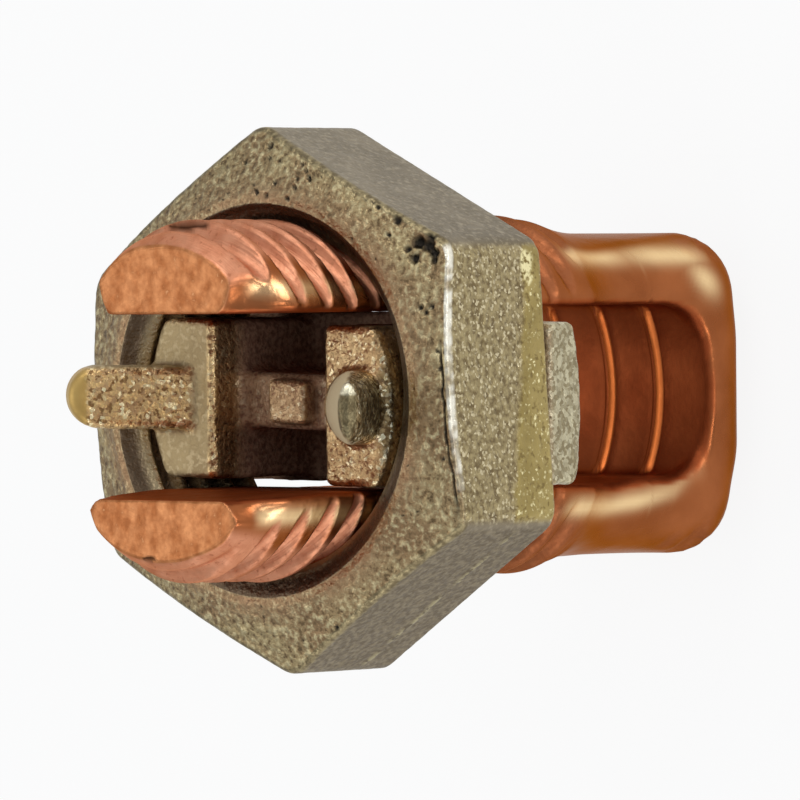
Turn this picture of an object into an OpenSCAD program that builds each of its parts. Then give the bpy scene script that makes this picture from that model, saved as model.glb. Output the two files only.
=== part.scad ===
// Split bolt connector: a copper bolt split into two legs, a cast nut and a captive pressure bar.
// Z runs along the bolt from its closed end to the leg tips, X runs across the slot,
// and the conductors lie along Y. The origin is the middle of the closed end's foot.

/* [Split bolt] */
// Overall length from the closed end to the leg tips
bolt_len = 41; // [38:0.1:48]
// Gap between the two legs, where the conductors lie
slot_w = 9.7; // [8.5:0.05:11]
// Thickness of the smooth legs and of the closed end
wall_t = 3.9; // [3.4:0.1:4.6]
// Width of the closed end, along the conductors
head_w = 14; // [12:0.1:15.5]
// Rounding of the closed end's outer edges
head_round = 3.4; // [2.4:0.1:3.8]
// Half length of the level part of the foot
foot_half = 3.8; // [3:0.1:4.5]
// Rise of the foot from its level part to the bends
foot_rise = 0.35; // [0:0.05:0.6]
// Radius of the saddle inside the closed end
saddle_r = 9.5; // [7:0.1:20]
// Height of the grip ridges across the saddle
ridge_h = 0.35; // [0.2:0.05:0.5]
// Spacing of the grip ridges along the conductors
ridge_gap = 3.4; // [2.6:0.1:4.2]

/* [Thread] */
// Height of the thread crests over the smooth legs
thread_h = 1; // [0.8:0.05:1.4]
// Advance in one turn, which also sets the grooves' depth and the length of the run-out
thread_pitch = 1.8; // [1.4:0.1:2.4]
// Height above the foot where the full thread starts
thread_z = 14; // [13:0.1:17]
// Radius of the rounded outside of each leg
leg_round = 7.2; // [6.8:0.05:7.4]
// Drop of that outside at the tip, for the lead-in
tip_drop = 1.5; // [0.8:0.05:1.8]

/* [Nut] */
// Reach of the leg tips past the nut's front face
tip_reach = 7.7; // [5:0.1:10]
// Thickness of the nut at its bore
nut_t = 8.5; // [7:0.1:10]
// Wall between the bore and the flats
nut_wall = 2.75; // [2:0.05:4]
// Turn of the nut from the slot
nut_turn = 3.9; // [0:0.1:30]
// Radial clearance over the thread crests
thread_gap = 0.2; // [0.1:0.05:0.4]
// Fall of the front face from the bore to the corners
crown_fall = 1.3; // [0.5:0.05:1.8]
// Width of the level ring round the bore
crown_ring = 0.9; // [0.8:0.1:1.8]
// Bluntness of the hexagon's corners
corner_blunt = 0.2; // [0.1:0.05:0.8]
// Chamfer at both ends of the bore
bore_chamfer = 0.4; // [0.2:0.05:0.8]

/* [Pressure bar] */
// Gap between the bar's foot and each leg
bar_gap = 0.45; // [0.3:0.05:0.8]
// Further inset of the prongs from each side of the foot
prong_inset = 0.25; // [0:0.05:0.5]
// Gap between the foot and the back of the nut
seat_gap = 0.25; // [0.15:0.05:0.5]
// Thickness of the foot
bar_t = 2.8; // [2.2:0.1:3.6]
// Inset of the foot's ends from the nut's flats
bar_end_inset = 0.2; // [0:0.05:0.6]
// Radius of the foot's bellied underside
belly_r = 14; // [9:0.5:30]
// Bevel on the ends of the foot
bar_bevel = 0.3; // [0.2:0.05:0.8]
// Gap between the two prongs
prong_gap = 7.8; // [6.5:0.1:8.5]
// Running gap between the prongs and the bore
prong_run = 1.35; // [1.2:0.05:2]
// Depth of the prongs' tops below the nut's front face
prong_drop = 0.5; // [0:0.1:1.2]
// Thickness of the web that joins the prongs
web_t = 3; // [2.4:0.1:3.8]
// Depth of the web's top below the nut's front face
web_drop = 2.8; // [1.6:0.1:3.5]
// Height of the pad on the web
pad_h = 0.9; // [0.5:0.1:1.2]
// Width of the pad across the web
pad_w = 2.4; // [1.8:0.1:2.8]
// Length of the pad along the web
pad_len = 2.7; // [2:0.1:3.5]
// Width of each lug
lug_w = 3.4; // [3:0.1:4.4]
// Thickness of each lug
lug_t = 2.6; // [2:0.1:3]
// Reach of each lug beyond the prong's top, along the lug
lug_len = 5.6; // [4.5:0.1:6.6]
// Splay of each lug from the bolt's axis
lug_splay = 42; // [36:1:52]

/* [Hidden] */
$fn = 96;
copper = [0.78, 0.47, 0.33];
bronze = [0.52, 0.46, 0.33];
pale_bronze = [0.63, 0.55, 0.40];
// Overlap that joins pieces of one solid
bite = 0.6;
// Reach of cutting shapes past the part
clear = 2 * bolt_len;

// Split bolt
leg_x = slot_w / 2 + wall_t;
thread_r = leg_x + thread_h;
saddle_axis_z = wall_t + saddle_r;
saddle_edge_z = saddle_axis_z - sqrt(pow(saddle_r, 2) - pow(slot_w / 2, 2));
foot_cut = head_round / 24;
leg_axis_x = thread_r - leg_round;
runout_len = 3.5 * thread_pitch;
lead_in_len = thread_pitch;

// Thread grooves, as a 60 degree form with a narrow flat at the root
root_r = thread_r - 0.64 * thread_pitch;
root_half = 0.05 * thread_pitch;
groove_out_r = thread_r + bite;
groove_out_half = root_half + (groove_out_r - root_r) * tan(30);
lead_angle = atan(thread_pitch / (PI * (root_r + thread_r)));
top_groove_z = bolt_len - 1.02 * thread_pitch;
low_groove_z = thread_z + 0.2 * thread_pitch;

// Nut
bore_r = thread_r + thread_gap;
nut_af = 2 * (bore_r + nut_wall);
nut_corner_r = nut_af / 2 / cos(30);
nut_front_z = bolt_len - tip_reach;
nut_z = nut_front_z - nut_t;
crown_r = bore_r + crown_ring;
crown_slope = crown_fall / (nut_corner_r - crown_r);

// Pressure bar
bar_w = slot_w - 2 * bar_gap;
bar_len = nut_af - 2 * bar_end_inset;
bar_top_z = nut_z - seat_gap;
bar_z = bar_top_z - bar_t;
prong_w = bar_w - 2 * prong_inset;
prong_r = bore_r - prong_run;
lug_half_run = lug_t / 2 / cos(lug_splay);
lug_y = prong_r - lug_half_run;
prong_top_z = nut_front_z - prong_drop;
web_top_z = nut_front_z - web_drop;

// Rounded block that the two smooth legs and the closed end are cut from
module head_block() {
    corner_x = leg_x - head_round;
    corner_y = head_w / 2 - head_round;
    hull()
        for (side_x = [-1, 1]) {
            for (side_y = [-1, 1]) {
                translate([side_x * foot_half, side_y * corner_y, head_round - foot_cut])
                    sphere(head_round, $fn = 40);
                translate([side_x * corner_x, side_y * corner_y, head_round + foot_rise])
                    sphere(head_round, $fn = 40);
            }
            translate([side_x * (leg_x - leg_round), 0, thread_z - bite])
                cylinder(h = bite, r = leg_round, $fn = 60);
        }
}

// Round blank of one leg, from the thread's run-out to the lead-in at the tip
module leg_blank() {
    translate([leg_axis_x, 0, 0])
        rotate_extrude()
            polygon([
                [0, thread_z - runout_len],
                [leg_round - thread_h - bite, thread_z - runout_len],
                [leg_round, thread_z],
                [leg_round, bolt_len - lead_in_len],
                [leg_round - tip_drop, bolt_len],
                [0, bolt_len]
            ]);
}

// One turn of the thread's groove, level
module groove() {
    rotate_extrude()
        polygon([
            [root_r, -root_half],
            [root_r, root_half],
            [groove_out_r, groove_out_half],
            [groove_out_r, -groove_out_half]
        ]);
}

// One leg with its grooves: on so short an arc, turns tilted by the lead angle follow the helix
module threaded_leg(first_z) {
    difference() {
        leg_blank();
        for (turn_z = [first_z : -thread_pitch : low_groove_z])
            translate([0, 0, turn_z])
                rotate([lead_angle, 0, 0])
                    groove();
    }
}

// Slot between the legs, with its round saddle
module slot() {
    intersection() {
        translate([-slot_w / 2, -clear / 2, 0])
            cube([slot_w, clear, clear]);
        union() {
            translate([0, 0, saddle_axis_z])
                rotate([90, 0, 0])
                    cylinder(h = clear, r = saddle_r, center = true);
            translate([-clear / 2, -clear / 2, saddle_axis_z])
                cube([clear, clear, clear]);
        }
    }
}

// Grip ridges that follow the saddle from leg to leg
module saddle_ridges() {
    intersection() {
        translate([-slot_w / 2 - bite, -head_w / 2, wall_t - bite])
            cube([slot_w + 2 * bite, head_w, saddle_edge_z - wall_t + 2 * bite]);
        for (step = [-1 : 1])
            translate([0, step * ridge_gap, saddle_axis_z])
                rotate([90, 0, 0])
                    rotate_extrude()
                        translate([saddle_r, 0])
                            circle(ridge_h, $fn = 24);
    }
}

module split_bolt() {
    color(copper) {
        difference() {
            union() {
                head_block();
                threaded_leg(top_groove_z);
                rotate(180)
                    threaded_leg(top_groove_z - thread_pitch / 2);
            }
            slot();
            translate([-clear / 2, -clear / 2, -clear])
                cube([clear, clear, clear]);
        }
        saddle_ridges();
    }
}

module hex_nut() {
    color(bronze)
        translate([0, 0, nut_z])
            rotate(nut_turn)
                difference() {
                    intersection() {
                        cylinder(h = nut_t, r = nut_corner_r, $fn = 6);
                        cylinder(h = nut_t, r = nut_corner_r - corner_blunt);
                        cylinder(h = nut_t, r1 = crown_r + nut_t / crown_slope, r2 = crown_r);
                    }
                    translate([0, 0, -bite])
                        cylinder(h = nut_t + 2 * bite, r = bore_r);
                    bore_mouth();
                    translate([0, 0, nut_t])
                        mirror([0, 0, 1])
                            bore_mouth();
                }
}

// Chamfer at one end of the bore, running past the nut's face
module bore_mouth() {
    translate([0, 0, -bite])
        cylinder(h = bite + bore_chamfer, r1 = bore_r + bore_chamfer + bite, r2 = bore_r);
}

// Foot that presses on the conductor, bellied underneath and bevelled at its ends
module bar_foot() {
    intersection() {
        translate([-bar_w / 2, -bar_len / 2, bar_z])
            cube([bar_w, bar_len, bar_t]);
        translate([0, 0, bar_z + belly_r])
            rotate([90, 0, 0])
                cylinder(h = clear, r = belly_r, center = true);
        translate([-bar_w, 0, bar_z])
            rotate([90, 0, 90])
                linear_extrude(2 * bar_w)
                    polygon([
                        [-bar_len / 2 + bar_bevel, 0],
                        [bar_len / 2 - bar_bevel, 0],
                        [bar_len / 2, bar_bevel],
                        [bar_len / 2, bar_t],
                        [-bar_len / 2, bar_t],
                        [-bar_len / 2, bar_bevel]
                    ]);
    }
}

// Two prongs that stand in the nut's bore, with outer faces that follow it
module bar_prongs() {
    prong_h = prong_top_z - bar_top_z + bite;
    translate([0, 0, bar_top_z - bite])
        intersection() {
            cylinder(h = prong_h, r = prong_r);
            for (side = [-1, 1])
                translate([0, side * (prong_gap / 2 + prong_r / 2), prong_h / 2])
                    cube([prong_w, prong_r, prong_h], center = true);
        }
}

// Web between the prongs, with a raised pad in the middle
module bar_web() {
    web_h = web_top_z - bar_top_z + bite;
    translate([-web_t / 2, -prong_gap / 2 - bite, bar_top_z - bite])
        cube([web_t, prong_gap + 2 * bite, web_h]);
    translate([-pad_w / 2, -pad_len / 2, web_top_z - bite])
        cube([pad_w, pad_len, pad_h + bite]);
}

// Round-ended lug on each prong, splayed outwards over the nut to hold it on the bar
module bar_lugs() {
    for (side = [-1, 1])
        translate([0, side * lug_y, prong_top_z])
            rotate([-side * lug_splay, 0, 0]) {
                translate([0, 0, (lug_len - lug_w / 2 - lug_t / 2) / 2])
                    cube([lug_w, lug_t, lug_len - lug_w / 2 + lug_t / 2], center = true);
                translate([0, 0, lug_len - lug_w / 2])
                    rotate([90, 0, 0])
                        cylinder(h = lug_t, r = lug_w / 2, center = true);
            }
}

module pressure_bar() {
    color(pale_bronze) {
        bar_foot();
        bar_prongs();
        bar_web();
        bar_lugs();
    }
}

split_bolt();
hex_nut();
pressure_bar();
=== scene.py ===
"""Visual model of a copper split bolt connector with a cast nut and a captive pressure bar."""

import math

import bmesh
import bpy
import numpy as np
from mathutils import Matrix, Vector


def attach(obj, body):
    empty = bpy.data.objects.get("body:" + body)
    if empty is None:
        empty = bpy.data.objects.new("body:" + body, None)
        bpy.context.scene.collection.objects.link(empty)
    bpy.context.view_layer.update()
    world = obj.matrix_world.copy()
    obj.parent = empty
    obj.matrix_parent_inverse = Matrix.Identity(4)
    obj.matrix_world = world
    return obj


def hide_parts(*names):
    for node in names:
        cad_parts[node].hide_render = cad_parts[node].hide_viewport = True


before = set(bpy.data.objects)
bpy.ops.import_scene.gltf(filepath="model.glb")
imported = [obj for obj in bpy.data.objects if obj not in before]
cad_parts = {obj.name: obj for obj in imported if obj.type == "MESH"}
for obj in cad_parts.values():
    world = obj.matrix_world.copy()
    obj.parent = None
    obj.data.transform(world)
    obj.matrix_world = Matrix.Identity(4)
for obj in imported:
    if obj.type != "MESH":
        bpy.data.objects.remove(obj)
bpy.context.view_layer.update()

MM = 0.001
TURN = 2 * math.pi

# Sizes in millimetres: those of the solids, and where the photograph asks for it a little off them

# Split bolt
BOLT_LEN = 41.0
SHORT_TIP_Z = BOLT_LEN - 0.4
SLOT_W = 9.7
LEG_X = 8.75
HEAD_W = 14.0
HEAD_ROUND = 3.4
# Rise of the foot towards the upper and the lower bend
FOOT_RISE = {1: 0.35, -1: 0.75}
WALL_T = 4.2
SADDLE_R = 9.5
SADDLE_Z = WALL_T + SADDLE_R
RIDGE_H = 0.35
RIDGE_GAP = 3.4
RIDGE_SHIFT = 0.3
RIDGE_SINK = 0.06
RIDGE_FILLET = 0.2
RIDGE_TOP_Z = 5.5
RIDGE_STEPS = (-1, 0, 1)
SLOT_CORNER = 0.5
SLOT_FLARE = 1.6
SLOT_EDGE = 0.7
LOWER_SLOT_EDGE = 0.8
TIP_EDGE = 0.2
# Height where the closed end starts to turn into the round legs
NECK_Z = 3.75
NECK_FILLET = 0.5
# Thread, with the height of a crest over the foot and where the grooves start and are full
PITCH = 1.8
CREST_Z = 0.47
THREAD_Z = 14.0
CREST_R = 9.75
ROOT_R = 8.45
LEG_ROUND = 7.2
LEG_AXIS_X = CREST_R - LEG_ROUND
RUNOUT_Z = THREAD_Z - 3.5 * PITCH
RUNOUT_DROP = 1.6
GROOVE_Z = [10.8, 16.5]
GROOVE_START_R = 9.6
CREST_FLAT = 0.1
GROOVE_POWER = 3
GROOVE_EDGE = 0.06
# Swell of the legs' sides past the round of their outside
SIDE_SWELL = 0.12
# Lead-in at the tips
LEAD_IN = PITCH
LEAD_SIDE = 0.8
LEAD_POWER = 1.5
# Extra thickness of the lower arm at the closed end, outside and inside
LOWER_ARM_OUT = 0.15
LOWER_ARM_IN = 0.3
# Inward set of each leg along its length
LEG_SET_Z = [25, 28, 35, 41]
LEG_SET = {1: [0, 0.2, 0.2, 0.25], -1: [0, 0.15, 0.15, -0.19]}
# Taper of each leg's outside towards the tip, all round and at its sides
LEG_TAPER = {1: (0.0, 0.35), -1: (0.43, 0.1)}
TAPER_Z = 33
TAPER_LEN = 6.2
# Outline of each leg's end face: angle about the leg's axis in degrees, radius
END_OUTLINE = {
    1: [
        (-75, 4.4), (-58, 4.65), (-50, 5.8), (-46, 5.95), (-33, 5.9), (-20, 5.8), (-5, 5.8),
        (9, 5.93), (21, 6.15), (33, 6.27), (50, 6.25), (59, 5.0), (75, 4.6),
    ],
    -1: [
        (-75, 4.6), (-63, 4.85), (-57, 6.2), (-44, 6.16), (-24, 5.62), (-3, 5.5), (15, 5.56),
        (30, 5.8), (51, 6.12), (61, 5.95), (66, 5.2), (75, 5.0),
    ],
}

# Hex nut
NUT_AF = 25.4
NUT_Z = 24.8
NUT_FRONT_Z = 33.3
NUT_TURN = math.radians(3.9)
CORNER_R = NUT_AF / 2 / math.cos(math.radians(30))
CROWN_R = 10.85
CROWN_SLOPE = 1.3 / (CORNER_R - CROWN_R)
NUT_MINOR_R = 8.98
NUT_MAJOR_R = 9.95
NUT_EDGE = 0.3
MOUTH_R = NUT_MAJOR_R + 0.4
MOUTH_DEPTH = 0.5
CORNER_BLUNT = 0.22
CORNER_ROUND = 0.2
NUT_COLUMNS = 620

# Pressure bar
BAR_W = 8.8
BAR_LEN = 25.0
BAR_TOP_Z = 24.55
BAR_T = 2.8
BELLY_R = 14.0
PRONG_W = 8.5
PRONG_R = 8.6
PRONG_GAP = 7.8
PRONG_TOP_Z = 32.8
WEB_T = 3.0
WEB_TOP_Z = 30.5
PAD = (2.4, 2.7, 0.9)
LUG_W = 3.4
LUG_T = 2.6
LUG_LEN = 5.6
LUG_SPLAY = math.radians(42)
# Lug on the near side, shorter and tapered, which the photograph shows end-on: what it has at its
# root, and what it loses or sinks towards its end
STUB_LEN = 5.2
STUB_HALF_W, STUB_W_LOSS = 1.98, 0.5
STUB_HALF_T, STUB_T_LOSS = 1.72, 1.2
STUB_SINK, STUB_BEND = 0.4, 0.45
# Rounding of the bar's edges, and fillets where its forms meet
BAR_ROUND = 0.4
PAD_ROUND = 0.35
BELLY_EDGE = 0.3
BORE_EDGE = 0.5
LUG_EDGE = 0.6
STUB_EDGE = 0.5
PRONG_FILLET = 0.6
WEB_FILLET = 0.8
PAD_FILLET = 0.25
LUG_FILLET = 0.35
# Play of the bar in the slot, and where the foot's edges lie next to the legs
BAR_SHIFT = -0.1
BAR_SKEW = 0.035
FOOT_EDGE = {1: 4.62, -1: 4.55}
BAR_GRID = (-5.3, -13.1, 21.2), (5.3, 13.1, 38.6)
BAR_CELL = 0.15


# Shape helpers


def ramp(v, low, high):
    """Smooth step from 0 at low to 1 at high."""
    t = np.clip((v - low) / (high - low), 0, 1)
    return t * t * (3 - 2 * t)


def spread(v, centre, width):
    """Bell curve about a centre."""
    return np.exp(-(((v - centre) / width) ** 2))


def smooth_max(a, b, width):
    """Larger of two fields, rounded over the given width where they meet."""
    h = np.clip(0.5 + 0.5 * (a - b) / width, 0, 1)
    return b + (a - b) * h + width * h * (1 - h)


def smooth_min(a, b, width):
    """Smaller of two fields, filleted over the given width where they meet."""
    return -smooth_max(-a, -b, width)


# Factors that scramble the numbers of a cell
HASH_AXES = np.array([374761393, 668265263, 362437])
HASH_SEED = 974711
HASH_SPREAD = 1274126177
WORD = 0xFFFFFFFF
HALF_WORD = (WORD + 1) / 2


def noise(p, size, seed):
    """Smooth value noise from -1 to 1 with features of the given size."""
    q = p / size + 0.37 * seed
    cell = np.floor(q).astype(np.int64)
    part = q - cell
    w = part * part * (3 - 2 * part)
    total = np.zeros(len(p))
    for step in np.ndindex(2, 2, 2):
        k = cell + step
        h = (k @ HASH_AXES + seed * HASH_SEED) & WORD
        h = (h ^ (h >> 13)) * HASH_SPREAD & WORD
        h = h ^ (h >> 16)
        share = np.prod(np.where(np.array(step) == 1, w, 1 - w), axis=1)
        total += share * (h / HALF_WORD - 1)
    return total


def box_field(p, half, rounding):
    """Distance field of a box at the origin with rounded edges."""
    q = np.abs(p) - (np.array(half) - rounding)
    outside = np.linalg.norm(np.maximum(q, 0), axis=1)
    return outside + np.minimum(q.max(axis=1), 0) - rounding


def make_piece(name, points, faces, marks, body, material):
    """Mesh object that rides on a body and stands for the CAD node of the same name."""
    mesh = bpy.data.meshes.new(name)
    mesh.from_pydata((points * MM).tolist(), [], faces)
    mesh.validate()
    shell = bmesh.new()
    shell.from_mesh(mesh)
    bmesh.ops.recalc_face_normals(shell, faces=shell.faces)
    shell.to_mesh(mesh)
    shell.free()
    mesh.polygons.foreach_set("use_smooth", [True] * len(mesh.polygons))
    for mark, values in marks.items():
        layer = mesh.attributes.new(mark, "FLOAT", "POINT")
        layer.data.foreach_set("value", np.asarray(values, np.float32))
    mesh.materials.append(material)
    mesh.update()
    piece = bpy.data.objects.new(name + "_dressed", mesh)
    bpy.context.scene.collection.objects.link(piece)
    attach(piece, body)
    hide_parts(name)
    return piece


def grid_faces(rows, columns, wrap_rows):
    """Quads of a grid whose columns close on themselves."""
    count = rows if wrap_rows else rows - 1
    i, j = np.meshgrid(np.arange(count), np.arange(columns), indexing="ij")
    a = i * columns + j
    b = i * columns + (j + 1) % columns
    c = (i + 1) % rows * columns + (j + 1) % columns
    d = (i + 1) % rows * columns + j
    return np.stack([a, b, c, d], -1).reshape(-1, 4)


def bridge(first, second, columns):
    """Quads between two closed rings of points."""
    j = np.arange(columns)
    k = (j + 1) % columns
    return np.stack([first + j, first + k, second + k, second + j], 1)


# Split bolt


def thread_wave(phase, root_flat, crest_flat):
    """Thread profile from 0 at the root to 1 at the crest."""
    triangle = np.abs((phase % 1) - 0.5) * 2
    return np.clip((triangle - root_flat) / (1 - root_flat - crest_flat), 0, 1)


NICK_EDGE = 0.06
# Dents in the leg tips: centre, half axes
NICKS = [
    ((9.3, 0.4, 38.5), (0.22, 1.05, 0.2)),
    ((9.28, 1.3, 38.48), (0.16, 0.5, 0.16)),
    ((9.3, -0.6, 38.45), (0.16, 0.45, 0.16)),
    ((-8.1, 0.9, 40.9), (0.1, 0.45, 0.16)),
]


def bolt_field(p, tip_z):
    """Field of the whole bolt, negative inside, and measures of its surface."""
    x, y, z = p.T
    upper = x > 0
    inward = np.where(upper, *(np.interp(z, LEG_SET_Z, LEG_SET[leg]) for leg in (1, -1)))
    x = x + np.where(upper, inward, -inward)
    lower_arm = ramp(-x, 1.5, 4.0) * (1 - ramp(z, 9.0, 11.5))
    across = np.abs(x) - LOWER_ARM_OUT * lower_arm
    along = np.abs(y)
    lift = np.where(upper, FOOT_RISE[1], FOOT_RISE[-1]) * ramp(across, 2.6, 6.2)
    q = np.stack(
        [
            across - (LEG_X - HEAD_ROUND),
            along - (HEAD_W / 2 - HEAD_ROUND),
            HEAD_ROUND + lift - z,
        ],
        1,
    )
    block = np.linalg.norm(np.maximum(q, 0), axis=1) + np.minimum(q.max(axis=1), 0)
    block = block - HEAD_ROUND
    neck = np.hypot(across - (LEG_X - LEG_ROUND), y) - LEG_ROUND
    block = block + (neck - block) * np.clip((z - NECK_Z) / (THREAD_Z - NECK_Z), 0, 1)
    block = np.maximum(block, z - THREAD_Z)
    radius = np.hypot(x, y)
    spoke = np.degrees(np.arctan2(y, across - LEG_AXIS_X))
    side = np.sin(np.radians(spoke)) ** 2
    outline = np.where(upper, *(np.interp(spoke, *zip(*END_OUTLINE[leg])) for leg in (1, -1)))
    taper = np.where(upper, *(LEG_TAPER[leg][0] + LEG_TAPER[leg][1] * side for leg in (1, -1)))
    taper = taper - SIDE_SWELL * side
    lead_len = LEAD_IN * (1 + LEAD_SIDE * side)
    lead = np.clip((z - tip_z + lead_len) / lead_len, 0, 1.1)
    envelope = np.interp(z, [RUNOUT_Z, THREAD_Z], [LEG_ROUND - RUNOUT_DROP, LEG_ROUND])
    envelope = envelope + SIDE_SWELL * side
    narrowing = np.clip((z - TAPER_Z) / TAPER_LEN, 0, 1)
    envelope = envelope - (taper + SIDE_SWELL * side) * narrowing
    envelope = envelope - (LEG_ROUND - taper - outline) * lead**LEAD_POWER
    leg = np.hypot(across - LEG_AXIS_X, y) - envelope
    leg = np.maximum(leg, RUNOUT_Z - z)
    blank = smooth_min(block, leg, NECK_FILLET)
    phase = (z - CREST_Z) / PITCH - np.arctan2(y, x) / TURN
    root = np.interp(z, GROOVE_Z, [GROOVE_START_R, ROOT_R])
    wave = thread_wave(phase, 0.0, CREST_FLAT) ** GROOVE_POWER
    groove = root + (CREST_R + SIDE_SWELL - root) * wave
    cut = radius - groove
    body = smooth_max(blank, cut, GROOVE_EDGE)
    below = np.minimum(z - SADDLE_Z, 0)
    saddle = np.hypot(x, below)
    wall = np.abs(x) + LOWER_ARM_IN * lower_arm - SLOT_W / 2
    corner = SLOT_CORNER + SLOT_FLARE * ramp(along, 4.6, 6.4)
    slot = smooth_max(wall, saddle - SADDLE_R, corner)
    edge = SLOT_EDGE + LOWER_SLOT_EDGE * (1 - ramp(x, -4.5, -1.5)) * (1 - ramp(z, 11, 15))
    solid = smooth_max(body, -slot, edge)
    solid = smooth_max(solid, z - tip_z, TIP_EDGE)
    dent_shade = np.full(len(p), -1.0)
    for centre, axes in NICKS:
        near = 1 - np.linalg.norm((p - centre) / axes, axis=1)
        near = near * (1 + 0.5 * noise(p, 0.35, 17))
        solid = smooth_max(solid, near * min(axes), NICK_EDGE)
        dent_shade = np.maximum(dent_shade, near)
    # Distance to one side of each saddle ridge, where a painted highlight line goes
    ridge_highlight = np.full(len(p), 9.0)
    for step in RIDGE_STEPS:
        aside = y - RIDGE_SHIFT - step * RIDGE_GAP
        ridge = np.hypot(slot, aside) - RIDGE_H + RIDGE_SINK
        ridge = np.maximum(ridge, z - RIDGE_TOP_Z)
        ridge_highlight = np.minimum(ridge_highlight, ridge + ramp(aside, -0.08, 0.15))
        solid = smooth_min(solid, ridge, RIDGE_FILLET)
    return solid, cut - blank, -slot - body, dent_shade, ridge_highlight


# Sections of the bolt's mesh: the rays, the bend's pivot, the spine and the steps along the legs
OUTER_RAYS = 32
INNER_RAYS = 15
END_RAYS = 36
RIDGE_RAYS = np.linspace(-0.45, 0.45, 9)
PIVOT_Z = 9.0
LEG_MID = 6.3
SECTION_DEPTH = 2.8
HEAD_SPINE = HEAD_W / 2 - SECTION_DEPTH
LEG_SPINE = 3.4
TIP_SPINE = 2.0
TIP_STEPS = np.array([0.01, 0.03, 0.06, 0.12, 0.2, 0.3])
STATION = 0.09
FINE_Z = 30
FAR_STATION = 0.16
BEND_SECTIONS = 74
RAY_LEN = 6.2
BISECTIONS = 18
CAP_SHARES = np.linspace(0.93, 0.07, 12)
CAP_RIM = 0.3


def ring_rays():
    """Starting points along a section's spine and ray angles, once round the section."""
    ridges = np.concatenate([RIDGE_RAYS + RIDGE_SHIFT + s * RIDGE_GAP for s in RIDGE_STEPS])
    ridges = ridges / HEAD_SPINE
    between = np.linspace(-0.98, 0.98, INNER_RAYS)
    inner = np.union1d(np.round(ridges, 4), np.round(between, 4))
    outer = np.linspace(-1, 1, OUTER_RAYS)
    ends = np.linspace(0, math.pi, END_RAYS + 2)[1:-1]
    start = np.concatenate([outer, np.ones(len(ends)), inner[::-1], -np.ones(len(ends))])
    angle = np.concatenate(
        [np.zeros(len(outer)), ends, np.full(len(inner), math.pi), ends + math.pi]
    )
    return start, angle


def bolt_stations():
    """Centre, outward direction, spine half length and tip height of each section, tip to tip."""
    rows = []
    for tip_z, leg in ((SHORT_TIP_Z, 1), (BOLT_LEN, -1)):
        heights = np.concatenate(
            [
                tip_z - TIP_STEPS,
                np.arange(tip_z - 0.4, FINE_Z, -STATION),
                np.arange(FINE_Z, PIVOT_Z, -FAR_STATION),
            ]
        )
        spine = np.interp(
            heights,
            [PIVOT_Z, THREAD_Z, tip_z - 3, tip_z],
            [HEAD_SPINE, LEG_SPINE, LEG_SPINE, TIP_SPINE],
        )
        rows.append(
            [((leg * LEG_MID, 0, z), (leg, 0, 0), half, tip_z) for z, half in zip(heights, spine)]
        )
    bend = []
    pivot = np.array([0, 0, PIVOT_Z])
    for turn in np.linspace(0, math.pi, BEND_SECTIONS)[1:-1]:
        out = np.array([math.cos(turn), 0, -math.sin(turn)])
        reach = np.arange(3.0, 13.0, 0.05)
        field = bolt_field(pivot + reach[:, None] * out, BOLT_LEN)[0]
        solid = reach[field < 0]
        middle = (solid.min() + solid.max()) / 2
        bend.append((pivot + middle * out, out, HEAD_SPINE, BOLT_LEN))
    return rows[0] + bend + rows[1][::-1]


def find_surface(origin, direction, tip_z, reach):
    """Point along each ray where the bolt's field changes sign."""
    low = np.zeros(len(origin))
    high = np.full(len(origin), reach)
    for _ in range(BISECTIONS):
        mid = (low + high) / 2
        field = bolt_field(origin + mid[:, None] * direction, tip_z)[0]
        low = np.where(field < 0, mid, low)
        high = np.where(field < 0, high, mid)
    return origin + low[:, None] * direction


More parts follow.
